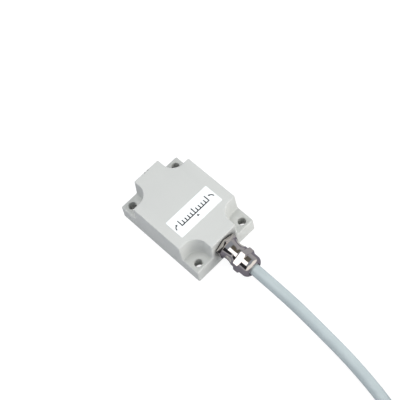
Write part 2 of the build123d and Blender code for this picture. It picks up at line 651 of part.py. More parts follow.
def make_cable_coil():
    """Outer shape of the put-away coil: two turns side by side and one in the groove on them."""
    flats = Rot(0, 0, 22.5) * RegularPolygon(CABLE_RADIUS, 8, major_radius=False)
    pair = Pos(-CABLE_RADIUS, 0) * flats + Pos(CABLE_RADIUS, 0) * flats
    groove = Pos(0, CABLE_RADIUS) * Rectangle(CABLE_RADIUS, CABLE_RADIUS)
    stack = Pos(0, COIL_TOP_TURN_Z - CABLE_GROUND_Z) * flats + groove
    section = Pos(COIL_MEAN_RADIUS, 0, CABLE_GROUND_Z) * Rot(90, 0, 0)
    coil = revolve(section * pair, Axis.Z)
    coil += Rot(0, 0, 180 + COIL_TOP_START) * revolve(
        section * stack, Axis.Z, revolution_arc=COIL_TOP_END - COIL_TOP_START)
    return Pos(COIL_X, COIL_Y, 0) * coil


def coil_end():
    """Plane on the coil's end face, its Z axis along the cable."""
    here = coil_point(COIL_TOP_END, COIL_MEAN_RADIUS, COIL_TOP_TURN_Z)
    outward = coil_point(COIL_TOP_END, COIL_MEAN_RADIUS + 1, COIL_TOP_TURN_Z) - here
    return Plane(origin=here, x_dir=outward, z_dir=Vector(0, 0, 1).cross(outward))


def make_cable_end_sleeve():
    """Shrink sleeve from the jacket's end, tapering down on to the cores."""
    wide = CABLE_RADIUS - SLEEVE_STEP
    tip = CORE_CIRCLE_RADIUS + CORE_RADIUS + SLEEVE_TIP_WALL
    taper_start = SLEEVE_LENGTH / 4
    taper_end = SLEEVE_LENGTH - taper_start
    sleeve = turned([
        (0, 0), (wide, 0), (wide, taper_start), (tip, taper_end), (tip, SLEEVE_LENGTH), (0, SLEEVE_LENGTH)])
    return coil_end() * sleeve


def lead_route(index):
    """Points of one free core, from the sleeve's tip down on to the coil."""
    angle = radians(90 + 360 * index / len(CORE_COLOURS))
    end = coil_end()
    offset = (CORE_CIRCLE_RADIUS * cos(angle), CORE_CIRCLE_RADIUS * sin(angle))
    start = end.from_local_coords(Vector(offset[0], offset[1], SLEEVE_LENGTH))
    second = end.from_local_coords(Vector(offset[0], offset[1], SLEEVE_LENGTH + LEAD_STRAIGHT))
    radius = COIL_MEAN_RADIUS + (PAD_ORDER[index] - (len(CORE_COLOURS) - 1) / 2) * LEAD_PITCH
    resting = GROUND_GAP + CABLE_DIAMETER + FERRULE_COLLAR_RADIUS + GROUND_GAP
    third = coil_point(COIL_TOP_END + LEAD_TURNS[0], radius, resting + GROUND_GAP)
    last = coil_point(COIL_TOP_END + LEAD_TURNS[1], radius, resting)
    return [tuple(point) for point in (start, second, third, last)]


def make_lead(index):
    points = lead_route(index)
    tube, path = round_tube(points, corner_radii(points), CORE_RADIUS)
    return tube


def make_ferrules():
    """Crimped wire-end ferrules, each an insulating collar and a pin."""
    ferrules = []
    for index in range(len(CORE_COLOURS)):
        before, last = [Vector(*point) for point in lead_route(index)[-2:]]
        pin = rod(FERRULE_COLLAR_RADIUS, 0, FERRULE_COLLAR_LENGTH) \
            + rod(FERRULE_RADIUS, FERRULE_COLLAR_LENGTH, FERRULE_LENGTH)
        ferrules.append(Plane(origin=last, z_dir=last - before) * pin)
    return ferrules


def make_parts():
    two_sides = (0, 180)
    four_sides = (0, 90, 180, 270)
    jacket_end = -JACKET_INNER_LENGTH
    parts = {
        "housing": make_housing(),
        "potting": make_potting(),
        "label": make_label(),
        "circuit_board": make_circuit_board(),
        "board_screws": make_board_screws(),
        "solder_joints": make_solder_joints(),
        "sensor_chip": on_board(
            SENSOR_PLACE, leaded_package(SENSOR_SIZE, SENSOR_LEAD_COUNT, SENSOR_LEAD_PITCH, two_sides)),
        "microcontroller": on_board(
            CONTROLLER_PLACE,
            leaded_package(CONTROLLER_SIZE, CONTROLLER_LEAD_COUNT, CONTROLLER_LEAD_PITCH, four_sides)),
        "interface_driver": on_board(
            DRIVER_PLACE, leaded_package(DRIVER_SIZE, DRIVER_LEAD_COUNT, DRIVER_LEAD_PITCH, two_sides)),
        "voltage_regulator": on_board(REGULATOR_PLACE, make_voltage_regulator()),
        "inductor": on_board(INDUCTOR_PLACE, make_inductor()),
        "buffer_capacitor": on_board(CAN_PLACE, make_buffer_capacitor()),
        "quartz_crystal": on_board(CRYSTAL_PLACE, make_quartz_crystal()),
        "surge_diodes": make_surge_diodes(),
        "chip_capacitors": make_chip_capacitors(),
        "chip_resistors": make_chip_resistors(),
        "gland_gasket": make_gland_gasket(),
        "gland_body": GLAND_PLANE * make_gland_body(),
        "clamp_insert": GLAND_PLANE * make_clamp_insert(),
        "cable_seal": GLAND_PLANE * make_cable_seal(),
        "thrust_ring": GLAND_PLANE * make_thrust_ring(),
        "cap_nut": GLAND_PLANE * make_cap_nut(),
        "cable_jacket": GLAND_PLANE * rod(CABLE_RADIUS, jacket_end, CABLE_START),
        "cable_shield": GLAND_PLANE * rod(CABLE_RADIUS - JACKET_WALL, jacket_end - SHIELD_LENGTH, jacket_end),
        "cable": make_cable(),
        "cable_coil": make_cable_coil(),
        "cable_end_sleeve": make_cable_end_sleeve(),
        "lead_ferrules": make_ferrules(),
    }
    for index, colour in enumerate(CORE_COLOURS):
        parts["core_" + colour] = make_core(index)
        parts["lead_" + colour] = make_lead(index)
    return parts


if __name__ == "__main__":
    os.makedirs("parts", exist_ok=True)
    for name, shape in make_parts().items():
        if isinstance(shape, list):
            shape = Compound(children=shape)
        export_step(shape, "parts/" + name + ".step")
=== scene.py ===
from math import atan2, cos, pi, radians, sin
import bpy
import bmesh
from mathutils import Matrix, Vector


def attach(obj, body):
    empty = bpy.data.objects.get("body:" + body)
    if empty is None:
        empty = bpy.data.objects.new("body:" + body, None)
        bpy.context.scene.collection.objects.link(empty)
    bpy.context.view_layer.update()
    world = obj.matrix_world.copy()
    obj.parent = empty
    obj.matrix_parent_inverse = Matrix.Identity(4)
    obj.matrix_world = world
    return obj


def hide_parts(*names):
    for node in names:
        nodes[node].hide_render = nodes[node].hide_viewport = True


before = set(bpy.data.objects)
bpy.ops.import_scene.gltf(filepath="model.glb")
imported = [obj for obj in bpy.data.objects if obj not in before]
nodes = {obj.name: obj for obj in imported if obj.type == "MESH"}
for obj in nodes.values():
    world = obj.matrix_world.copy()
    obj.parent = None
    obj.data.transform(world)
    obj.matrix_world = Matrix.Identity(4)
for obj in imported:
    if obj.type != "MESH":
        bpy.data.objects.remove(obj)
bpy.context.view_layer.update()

scene = bpy.context.scene

# The viewpoint: the sensor is seen from above its front left corner, with the camera rolled a
# sixth of a right angle. A long lens keeps the edges of the housing nearly parallel.
VIEW_AZIMUTH = radians(-31.426)
VIEW_ELEVATION = radians(61.842)
VIEW_ROLL = radians(-14.936)
VIEW_DISTANCE = 0.8008
VIEW_TARGET = Vector((0.0, 0.0, 0.010))
TARGET_PIXEL = (187.1, 215.4)
FOCAL_PIXELS = 1049.9
FRAME_PIXELS = 400
SENSOR_WIDTH = 36.0
NEAREST = 0.01

toward = Vector((
    sin(VIEW_AZIMUTH) * cos(VIEW_ELEVATION), -cos(VIEW_AZIMUTH) * cos(VIEW_ELEVATION), sin(VIEW_ELEVATION)))
level = Vector((cos(VIEW_AZIMUTH), sin(VIEW_AZIMUTH), 0.0))
upright = toward.cross(level)
right = level * cos(VIEW_ROLL) + upright * sin(VIEW_ROLL)
up = upright * cos(VIEW_ROLL) - level * sin(VIEW_ROLL)
camera = bpy.data.objects.new("camera", bpy.data.cameras.new("camera"))
camera_turn = Matrix((right, up, toward)).transposed().to_4x4()
camera.matrix_world = Matrix.Translation(VIEW_TARGET + toward * VIEW_DISTANCE) @ camera_turn
camera.data.sensor_width = SENSOR_WIDTH
camera.data.lens = SENSOR_WIDTH * FOCAL_PIXELS / FRAME_PIXELS
camera.data.shift_x = (FRAME_PIXELS / 2 - TARGET_PIXEL[0]) / FRAME_PIXELS
camera.data.shift_y = (TARGET_PIXEL[1] - FRAME_PIXELS / 2) / FRAME_PIXELS
camera.data.clip_start = NEAREST
scene.collection.objects.link(camera)
scene.camera = camera

# The cable: a round flexible jacket, extruded in blue-grey, with a satin skin. It leaves the cap
# nut straight, sinks to the ground, and its spare length is wound into a flat coil: an outer round,
# an inner one beside it and a last one on top of both. The rounds change over at turns in degrees.
CABLE_DIAMETER = 0.009
CABLE_GROUND_Z = 0.0046
CABLE_ROUTE = [
    (0.0, -0.0688, 0.017), (0.0, -0.103, 0.017), (-0.0005, -0.137, 0.0094),
    (-0.0025, -0.171, 0.0052), (-0.0095, -0.2095, CABLE_GROUND_Z), (-0.0231, -0.2457, CABLE_GROUND_Z)]
COIL_START_TURN = 18.0
COIL_TURNED = 935.0
COIL_POINTS = 43
OUTER_TURN = 0.048
INNER_TURN = 0.039
TOP_TURN = 0.0435
TOP_TURN_Z = 0.01283
TOP_HUMP = 0.0008
MOVES_IN = (285, 338)
CLIMBS = (590, 645)
MOVES_OVER = (612, 655)
HUMP_RISE = (640, 665)
HUMP_FALL = (690, 715)
CABLE_COLOUR = (0.440, 0.495, 0.500)
CABLE_DARK = (0.370, 0.425, 0.435)


class Tone:
    """A number or colour that varies over a surface. Plain arithmetic on one adds Math nodes."""

    def __init__(self, socket):
        self.socket = socket

    @classmethod
    def node(cls, tree, kind, settings, inputs, output=0):
        """Adds a node of any kind: its settings first, then the values or links of its sockets."""
        made = tree.nodes.new(kind)
        for name, value in settings.items():
            setattr(made, name, value)
        for name, value in inputs.items():
            if isinstance(value, cls):
                tree.links.new(value.socket, made.inputs[name])
            else:
                made.inputs[name].default_value = value
        return cls(made.outputs[output])

    def maths(self, operation, first, second=0.0):
        """A Math node in the same tree."""
        tree = self.socket.id_data
        return Tone.node(tree, "ShaderNodeMath", {"operation": operation}, {0: first, 1: second})

    def __add__(self, other):
        return self.maths("ADD", self, other)

    def __sub__(self, other):
        return self.maths("SUBTRACT", self, other)

    def __mul__(self, other):
        return self.maths("MULTIPLY", self, other)

    def __rsub__(self, other):
        return self.maths("SUBTRACT", other, self)

    def over(self, low, high):
        """0 below low, 1 above high."""
        return Tone.node(
            self.socket.id_data, "ShaderNodeMapRange", {"clamp": True},
            {"Value": self, "From Min": low, "From Max": high})

    def within(self, foot, head):
        """1 from the fade at the foot to the fade at the head, 0 below and above them."""
        return self.over(*foot) * (1 - self.over(*head))

    def between(self, base, other):
        """Colour that goes from base at 0 to other at 1."""
        ends = [c if isinstance(c, Tone) else (*c, 1.0) for c in (base, other)]
        return Tone.node(
            self.socket.id_data, "ShaderNodeMix", {"data_type": "RGBA"}, {0: self, 6: ends[0], 7: ends[1]}, 2)


def new_finish(name, colour, roughness, metallic=0.0):
    """A material, its node tree, its shader and the object coordinates."""
    material = bpy.data.materials.new(name)
    material.use_nodes = True
    material.diffuse_color = (*colour, 1.0)
    tree = material.node_tree
    shader = tree.nodes["Principled BSDF"]
    shader.inputs["Base Color"].default_value = (*colour, 1.0)
    shader.inputs["Roughness"].default_value = roughness
    shader.inputs["Metallic"].default_value = metallic
    place = Tone.node(tree, "ShaderNodeTexCoord", {}, {}, "Object")
    return material, tree, shader, place


def noise(tree, place, scale, detail=3.0, rough=0.5):
    inputs = {"Vector": place, "Scale": scale, "Detail": detail, "Roughness": rough}
    return Tone.node(tree, "ShaderNodeTexNoise", {}, inputs)


def stretched(tree, place, scale):
    """Coordinates drawn out along an axis, for marks that run along it."""
    return Tone.node(tree, "ShaderNodeMapping", {}, {"Vector": place, "Scale": scale})


def bump(tree, height, distance, strength=1.0):
    inputs = {"Height": height, "Distance": distance, "Strength": strength}
    return Tone.node(tree, "ShaderNodeBump", {}, inputs)


def plug_in(tree, shader, name, tone):
    tree.links.new(tone.socket, shader.inputs[name])


def smooth_step(value, start, end):
    share = min(max((value - start) / (end - start), 0.0), 1.0)
    return share * share * (3 - 2 * share)


cable_finish, tree, shader, place = new_finish("cable_jacket", CABLE_COLOUR, 0.42)
drawn = stretched(tree, place, (1.0, 0.15, 1.0))
cloudy = noise(tree, place, 60.0)
skin = noise(tree, drawn, 1400.0, 2.0)
scuff = noise(tree, drawn, 260.0, 4.0, 0.65).over(0.62, 0.74)
dulled = cloudy.over(0.35, 0.65) * 0.5 + scuff * 0.3
plug_in(tree, shader, "Base Color", dulled.between(CABLE_COLOUR, CABLE_DARK))
plug_in(tree, shader, "Roughness", skin * 0.16 + scuff * 0.12 + 0.30)
plug_in(tree, shader, "Normal", bump(tree, skin + cloudy * 2, 0.00006))
shader.inputs["Specular IOR Level"].default_value = 0.6

coil_start = radians(COIL_START_TURN)
coil_entry = Vector((*CABLE_ROUTE[-1][:2], 0.0))
coil_centre = coil_entry + OUTER_TURN * Vector((cos(coil_start), -sin(coil_start), 0.0))
coil_step = (COIL_TURNED + COIL_START_TURN) / COIL_POINTS
corner_reach = 1 / cos(radians(coil_step) / 2)
coil_points = []
for k in range(1, COIL_POINTS + 1):
    turned = k * coil_step - COIL_START_TURN
    radius = OUTER_TURN
    radius += (INNER_TURN - OUTER_TURN) * smooth_step(turned, *MOVES_IN)
    radius += (TOP_TURN - INNER_TURN) * smooth_step(turned, *MOVES_OVER)
    height = CABLE_GROUND_Z + (TOP_TURN_Z - CABLE_GROUND_Z) * smooth_step(turned, *CLIMBS)
    height += TOP_HUMP * (smooth_step(turned, *HUMP_RISE) - smooth_step(turned, *HUMP_FALL))
    reach = radius * (corner_reach if k < COIL_POINTS else 1)
    angle = pi + radians(turned)
    coil_points.append(coil_centre + Vector((reach * cos(angle), reach * sin(angle), height)))

line = bpy.data.curves.new("cable_line", "CURVE")
line.dimensions = "3D"
spline = line.splines.new("NURBS")
route_points = [Vector(point) for point in CABLE_ROUTE] + coil_points
spline.points.add(len(route_points) - 1)
for point, corner in zip(spline.points, route_points):
    point.co = (*corner, 1.0)
spline.order_u = 3
spline.use_endpoint_u = True
line.resolution_u = 12
line.bevel_depth = CABLE_DIAMETER / 2
line.bevel_resolution = 10
line.use_fill_caps = True
cable = bpy.data.objects.new("cable_run", line)
cable.data.materials.append(cable_finish)
scene.collection.objects.link(cable)
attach(cable, "sensor")
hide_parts("cable", "cable_coil")

# The cable's free end: a black sleeve shrunk over the end of the jacket and on to the five cores,
# which come out of it side by side.
SLEEVE_PROFILE = [
    (0.0, -0.0048), (0.00462, -0.0048), (0.00482, -0.0045), (0.00484, -0.0005), (0.00478, 0.0012),
    (0.00455, 0.0028), (0.0046, 0.0045), (0.0043, 0.0062), (0.0039, 0.0090), (0.00345, 0.0116),
    (0.0032, 0.0140), (0.00318, 0.0178), (0.0030, 0.0180), (0.0, 0.0180)]
SPIN_STEPS = 96
SLEEVE_COLOUR = (0.016, 0.016, 0.018)
FERRULE_COLOUR = (0.72, 0.71, 0.69)


def spun(profile):
    """Closed shape turned about its own Z axis from (radius, station) points."""
    shape = bmesh.new()
    rim = [shape.verts.new((r, 0.0, s)) for r, s in profile]
    sides = [shape.edges.new(pair) for pair in zip(rim, rim[1:] + rim[:1])]
    bmesh.ops.spin(
        shape, geom=rim + sides, angle=2 * pi, steps=SPIN_STEPS, axis=(0, 0, 1), cent=(0, 0, 0),
        use_merge=True)
    bmesh.ops.remove_doubles(shape, verts=shape.verts, dist=1e-7)
    flat = [f for f in shape.faces if f.calc_area() < 1e-14]
    bmesh.ops.delete(shape, geom=flat, context="FACES")
    bmesh.ops.recalc_face_normals(shape, faces=shape.faces)
    return shape


def finished(name, shape, material, body, slot, *replaced):
    """Makes a piece of a shape, with smooth shading, that rides on a body."""
    mesh = bpy.data.meshes.new(name)
    for face in shape.faces:
        face.smooth = True
    shape.to_mesh(mesh)
    shape.free()
    mesh.materials.append(material)
    piece = bpy.data.objects.new(name, mesh)
    scene.collection.objects.link(piece)
    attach(piece, body)
    if replaced:
        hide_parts(*replaced)
    return piece


def give(material, *names):
    """Puts a material on nodes that keep their own meshes."""
    for name in names:
        mesh = nodes[name].data
        mesh.materials.clear()
        mesh.materials.append(material)


end_angle = pi + radians(COIL_TURNED)
outward = Vector((cos(end_angle), sin(end_angle), 0.0))
along = Vector((-sin(end_angle), cos(end_angle), 0.0))
cable_end = Matrix((outward, along.cross(outward), along)).transposed().to_4x4()
cable_end.translation = coil_centre + outward * TOP_TURN + Vector((0, 0, TOP_TURN_Z))

sleeve_finish, tree, shader, place = new_finish("shrink_sleeve", SLEEVE_COLOUR, 0.45)
ripple = noise(tree, place, 420.0, 3.0)
plug_in(tree, shader, "Roughness", ripple * 0.25 + 0.32)
plug_in(tree, shader, "Normal", bump(tree, ripple, 0.00012))
shape = spun(SLEEVE_PROFILE)
bmesh.ops.transform(shape, matrix=cable_end, verts=shape.verts)
sleeve = finished("end_sleeve", shape, sleeve_finish, "sensor", "shrink_sleeve", "cable_end_sleeve")

ferrule_finish, tree, shader, place = new_finish("ferrule", FERRULE_COLOUR, 0.3, 1.0)
crimp = noise(tree, place, 700.0, 2.0)
plug_in(tree, shader, "Roughness", crimp * 0.2 + 0.2)
plug_in(tree, shader, "Normal", bump(tree, crimp, 0.00005))
give(ferrule_finish, "lead_ferrules")

# The cores: five stranded wires in coloured insulation. They run from the cable's end in the
# housing to the board, and their other ends come out of the sleeve.
CORE_COLOURS = {
    "brown": (0.145, 0.052, 0.020), "white": (0.80, 0.80, 0.77), "blue": (0.025, 0.095, 0.40),
    "black": (0.014, 0.014, 0.015), "grey": (0.26, 0.27, 0.28)}
for colour_name, colour in CORE_COLOURS.items():
    core_finish, tree, shader, place = new_finish("core_" + colour_name, colour, 0.34)
    skin = noise(tree, place, 900.0, 2.0)
    worn = tuple(0.8 * c + 0.02 for c in colour)
    plug_in(tree, shader, "Base Color", skin.over(0.45, 0.75).between(colour, worn))
    plug_in(tree, shader, "Roughness", skin * 0.2 + 0.24)
    plug_in(tree, shader, "Normal", bump(tree, skin, 0.00003))
    give(core_finish, "core_" + colour_name, "lead_" + colour_name)

# The housing: one light grey thermoplastic moulding. Its drafted walls, lugs and notches come off
# a spark-eroded tool, which leaves a fine even grain and two gate marks on the rear top edge. The
# lug floors, sunk beside the walls, carry painted shade, all but a lighter rim at their outer edges.
HOUSING_COLOUR = (0.565, 0.570, 0.545)
HOUSING_SHADE = (0.525, 0.530, 0.507)
LUG_PAINTED_SHADE = (0.470, 0.478, 0.455)
LUG_BAND_FOOT = (0.0128, 0.0132)
LUG_BAND_HEAD = (0.0137, 0.0143)
RIM_WIDTH = 0.0010
RIM_FADE = 0.0003
GATE_COLOUR = (0.10, 0.10, 0.10)
GATE_MARKS = [(-0.0018, 0.0412, 0.0304), (0.0013, 0.0412, 0.0304)]
GATE_RADIUS = 0.00048
HALF_WIDTH = 0.030
HALF_LENGTH = 0.042
CORNER_RADIUS = 0.003
SHARP_RADIUS = 0.001
HOLE_PLACE = (0.0232, 0.0359)
HOLE_RADIUS = 0.00325
RELIEF_DEPTH = 0.003
RELIEF_RADIUS = 0.0046
UNDERSIDE = 1e-5
HOLE_TOLERANCE = 1e-4
SHARP_ANGLE = radians(28)
housing_finish, tree, shader, place = new_finish("housing_plastic", HOUSING_COLOUR, 0.5)
grain = noise(tree, place, 2600.0, 2.0)
flow = noise(tree, place, 22.0, 2.0, 0.4)
speck = noise(tree, place, 900.0, 1.0).over(0.74, 0.78)
tone = (flow.over(0.3, 0.7) * 0.45 + speck * 0.4).between(HOUSING_COLOUR, HOUSING_SHADE)
across, lengthways, level = [
    Tone.node(tree, "ShaderNodeSeparateXYZ", {}, {0: place}, axis) for axis in "XYZ"]
# Painted shade: the sunk lug floors are darkened, all but a rim along their outer edges, which stays lighter.
lug_shade_mask = level.within(LUG_BAND_FOOT, LUG_BAND_HEAD)
for reading, half in ((across, HALF_WIDTH), (lengthways, HALF_LENGTH)):
    rim = half - RIM_WIDTH
    lug_shade_mask = lug_shade_mask * (1 - reading.maths("ABSOLUTE", reading).over(rim, rim + RIM_FADE))
tone = lug_shade_mask.between(tone, LUG_PAINTED_SHADE)
for mark in GATE_MARKS:
    away = Tone.node(
        tree, "ShaderNodeVectorMath", {"operation": "DISTANCE"}, {0: place, 1: mark}, "Value")
    tone = (1 - away.over(GATE_RADIUS, 2 * GATE_RADIUS)).between(tone, GATE_COLOUR)
plug_in(tree, shader, "Base Color", tone)
plug_in(tree, shader, "Roughness", grain * 0.16 + 0.44)
plug_in(tree, shader, "Normal", bump(tree, grain + flow * 4, 0.00004, 0.8))

# The moulding's skin is the solid's own, with each hole opened to a cone at the underside. The
# points of a lug's round corner move out, away from the corner's centre, on to a sharper one.
shape = bmesh.new()
shape.from_mesh(nodes["housing"].data)
bmesh.ops.remove_doubles(shape, verts=shape.verts, dist=1e-6)
bmesh.ops.bisect_plane(
    shape, geom=shape.verts[:] + shape.edges[:] + shape.faces[:], dist=1e-8,
    plane_co=(0, 0, RELIEF_DEPTH), plane_no=(0, 0, 1))
flat = 1 - SHARP_RADIUS / CORNER_RADIUS
for vert in shape.verts:
    side_x = 1 if vert.co.x > 0 else -1
    side_y = 1 if vert.co.y > 0 else -1
    reading = Vector((abs(vert.co.x), abs(vert.co.y)))
    from_hole = reading - Vector(HOLE_PLACE)
    if vert.co.z < UNDERSIDE and abs(from_hole.length - HOLE_RADIUS) < HOLE_TOLERANCE:
        opened = from_hole * (RELIEF_RADIUS / HOLE_RADIUS - 1)
        vert.co.x += opened.x * side_x
        vert.co.y += opened.y * side_y
    corner = reading - Vector((HALF_WIDTH - CORNER_RADIUS, HALF_LENGTH - CORNER_RADIUS))
    if min(corner) > 0:
        steep = min(corner) / max(corner)
        reach = (1 + steep * steep) ** 0.5
        if steep > flat:
            lean = (steep + 1) * flat / reach
            reach = lean + (lean * lean - 2 * flat * flat + (1 - flat) ** 2) ** 0.5
        vert.co.x += corner.x * (reach - 1) * side_x
        vert.co.y += corner.y * (reach - 1) * side_y
housing = finished("housing_shell", shape, housing_finish, "sensor", "housing_plastic", "housing")
housing.data.set_sharp_from_angle(angle=SHARP_ANGLE)

# The resin: poured into the open underside and cured black, it seals the board in the housing.
# It creeps up a little at the walls and its skin has shallow flow marks.
RESIN_COLOUR = (0.016, 0.017, 0.019)
resin_finish, tree, shader, place = new_finish("potting_resin", RESIN_COLOUR, 0.22)
flow = noise(tree, place, 38.0, 1.0)
pores = noise(tree, place, 420.0, 1.0).over(0.76, 0.82)
plug_in(tree, shader, "Roughness", noise(tree, place, 90.0).over(0.3, 0.7) * 0.2 + 0.16)
plug_in(tree, shader, "Normal", bump(tree, flow - pores * 0.3, 0.0006))
give(resin_finish, "potting")

# The label: a white polyester film with round corners, stuck on the top and printed with a plain
# tilt scale: a row of ticks on a line, a zero mark and a bent arrow at each end.
LABEL_COLOUR = (0.90, 0.925, 0.92)
LABEL_SHADE = (0.87, 0.90, 0.895)
LABEL_CENTRE = (0.0, -0.011)
LABEL_SIZE = (0.0424, 0.0178)
LABEL_CORNER = 0.0009
LABEL_TOP = 0.03075
LABEL_BOTTOM = 0.0306
INK_HEIGHT = 0.00003
TICK_PITCH = 0.0028
TICK_COUNT = 11
TICK_WIDTH = 0.00085
TALL_TICK = 0.0054
SHORT_TICK = 0.0034
SCALE_LINE = -0.0018
ZERO_MARK = 0.0013
ARROW_RADIUS = 0.0032
ARROW_SWEEP = radians(75)
ARROW_PLACE = 0.0162
ARROW_HEAD = 0.0011
INK_COLOUR = (0.022, 0.020, 0.022)


def thickened(shape, height):
    """Gives flat faces a thickness, upwards."""
    raised = bmesh.ops.extrude_face_region(shape, geom=shape.faces[:])
    top = [g for g in raised["geom"] if isinstance(g, bmesh.types.BMVert)]
    bmesh.ops.translate(shape, vec=(0, 0, height), verts=top)
    bmesh.ops.recalc_face_normals(shape, faces=shape.faces)


def eased(piece, width, angle, segments=2):
    """Breaks the edges of a piece that are sharper than an angle in degrees."""
    bevel = piece.modifiers.new("eased_edges", "BEVEL")
    bevel.width = width
    bevel.segments = segments
    bevel.limit_method = "ANGLE"
    bevel.angle_limit = radians(angle)
    bevel.harden_normals = True


label_finish, tree, shader, place = new_finish("label_film", LABEL_COLOUR, 0.3)
film = noise(tree, place, 260.0, 2.0)
plug_in(tree, shader, "Base Color", film.over(0.4, 0.8).between(LABEL_COLOUR, LABEL_SHADE))
plug_in(tree, shader, "Roughness", film.over(0.3, 0.7) * 0.14 + 0.24)
plug_in(tree, shader, "Normal", bump(tree, noise(tree, place, 70.0, 1.0), 0.00008))
shape = bmesh.new()
bmesh.ops.create_grid(shape, x_segments=1, y_segments=1, size=0.5)
bmesh.ops.scale(shape, vec=(*LABEL_SIZE, 1.0), verts=shape.verts)
bmesh.ops.bevel(
    shape, geom=shape.verts, offset=LABEL_CORNER, offset_type="OFFSET", segments=6, profile=0.5,
    affect="VERTICES", material=-1)
thickened(shape, LABEL_TOP - LABEL_BOTTOM)
bmesh.ops.translate(shape, vec=(*LABEL_CENTRE, LABEL_BOTTOM), verts=shape.verts)
label = finished("label_plate", shape, label_finish, "sensor", "label_film", "label")
eased(label, 0.00004, 40, 1)

ink_finish, tree, shader, place = new_finish("label_ink", INK_COLOUR, 0.4)
plug_in(tree, shader, "Roughness", noise(tree, place, 800.0) * 0.2 + 0.3)
shape = bmesh.new()


def ink_bar(width, height, x, y):
    """Flat rectangle of ink, given by its centre from the label's centre."""
    bar = bmesh.ops.create_grid(shape, x_segments=1, y_segments=1, size=0.5)["verts"]
    bmesh.ops.scale(shape, vec=(width, height, 1.0), verts=bar)
    bmesh.ops.translate(shape, vec=(x, y, 0), verts=bar)


def ink_head(size, x, y, turn):
    """Triangular arrow head, its point turned from +X."""
    head = bmesh.ops.create_circle(shape, cap_ends=True, radius=size, segments=3)["verts"]
    bmesh.ops.rotate(shape, cent=(0, 0, 0), matrix=Matrix.Rotation(turn - pi / 2, 3, "Z"), verts=head)
    bmesh.ops.translate(shape, vec=(x, y, 0), verts=head)


scale_half = TICK_PITCH * (TICK_COUNT - 1) / 2
ink_bar(2 * scale_half + TICK_WIDTH, TICK_WIDTH, 0, SCALE_LINE)
for k in range(TICK_COUNT):
    tall = TALL_TICK if k % 5 == 0 else SHORT_TICK
    ink_bar(TICK_WIDTH, tall, k * TICK_PITCH - scale_half, SCALE_LINE + tall / 2)
ink_head(ZERO_MARK, 0, SCALE_LINE - 2 * ZERO_MARK, pi / 2)
for side in (-1, 1):
    earlier = set(shape.verts)
    ends = [
        shape.verts.new((side * (ARROW_RADIUS + half * TICK_WIDTH), 0, 0)) for half in (-0.5, 0.5)]
    across = shape.edges.new(ends)
    bmesh.ops.spin(
        shape, geom=[*ends, across], angle=side * ARROW_SWEEP, steps=12, axis=(0, 0, 1), cent=(0, 0, 0))
    bend = Vector((side * ARROW_PLACE, SCALE_LINE, 0.0))
    bmesh.ops.translate(shape, vec=bend, verts=[v for v in shape.verts if v not in earlier])
    tip = bend + ARROW_RADIUS * Vector((side * cos(ARROW_SWEEP), sin(ARROW_SWEEP), 0.0))
    ink_head(ARROW_HEAD, tip.x, tip.y, pi / 2 + side * ARROW_SWEEP)
thickened(shape, INK_HEIGHT)
bmesh.ops.translate(shape, vec=(*LABEL_CENTRE, LABEL_TOP), verts=shape.verts)
finished("label_scale", shape, ink_finish, "sensor", "label_film")

# The gland body: turned and milled from brass, then polished and nickel-plated. A hexagon flange
# seats on the wall, a waist and a bead lead to the thread under the cap nut.
GLAND_SEAT_Y = -0.0415
GLAND_HEIGHT = 0.017
FLAT_DISTANCE = 0.009
FLANGE_TURN = 6.0
THREAD_PITCH = 0.0015
THREAD_TURNS = 3.55
THREAD_STEPS = 48
THREAD_START = 0.0166
THREAD_TOOTH = [(0.00705, 0.0), (0.0076, 0.0005), (0.00705, 0.0010)]
NICKEL_COLOUR = (0.62, 0.585, 0.56)
NICKEL_DULL = (0.55, 0.52, 0.50)
EASED_EDGE = 0.00014
EASED_ANGLE = 24
gland_place = Matrix((
    (1, 0, 0, 0), (0, 0, -1, GLAND_SEAT_Y), (0, 1, 0, GLAND_HEIGHT), (0, 0, 0, 1)))


def arc(first, middle, last, count):
    """Points of the circular arc through three (radius, station) points."""
    (ax, ay), (bx, by), (cx, cy) = first, middle, last
    twice = 2 * (ax * (by - cy) + bx * (cy - ay) + cx * (ay - by))
    squares = [x * x + y * y for x, y in (first, middle, last)]
    ox = (squares[0] * (by - cy) + squares[1] * (cy - ay) + squares[2] * (ay - by)) / twice
    oy = (squares[0] * (cx - bx) + squares[1] * (ax - cx) + squares[2] * (bx - ax)) / twice
    radius = ((ax - ox) ** 2 + (ay - oy) ** 2) ** 0.5
    angles = [atan2(y - oy, x - ox) for x, y in (first, middle, last)]
    to_middle = (angles[1] - angles[0] + pi) % (2 * pi) - pi
    to_last = (angles[2] - angles[1] + pi) % (2 * pi) - pi
    steps = [angles[0] + (to_middle + to_last) * k / count for k in range(count + 1)]
    return [(ox + radius * cos(angle), oy + radius * sin(angle)) for angle in steps]


def milled(shape, turn):
    """Cuts the six flats of a hexagon into a turned shape."""
    for k in range(6):
        angle = radians(turn + 60 * k)
        normal = Vector((cos(angle), sin(angle), 0.0))
        cut = bmesh.ops.bisect_plane(
            shape, geom=shape.verts[:] + shape.edges[:] + shape.faces[:], dist=1e-8,
            plane_co=normal * FLAT_DISTANCE, plane_no=normal, clear_outer=True)
        rim = [g for g in cut["geom_cut"] if isinstance(g, bmesh.types.BMEdge)]
        bmesh.ops.edgeloop_fill(shape, edges=rim)
    bmesh.ops.recalc_face_normals(shape, faces=shape.faces)


nickel_finish, tree, shader, place = new_finish("gland_nickel", NICKEL_COLOUR, 0.12, 1.0)
turning = noise(tree, stretched(tree, place, (1.0, 22.0, 1.0)), 180.0, 3.0, 0.6)
cloud = noise(tree, place, 320.0)
smear = noise(tree, place, 95.0, 4.0, 0.6)
plug_in(tree, shader, "Base Color", smear.over(0.45, 0.8).between(NICKEL_COLOUR, NICKEL_DULL))
plug_in(tree, shader, "Roughness", cloud.over(0.3, 0.75) * 0.07 + smear.over(0.5, 0.8) * 0.06 + 0.075)
plug_in(tree, shader, "Normal", bump(tree, turning, 0.000006, 0.6))

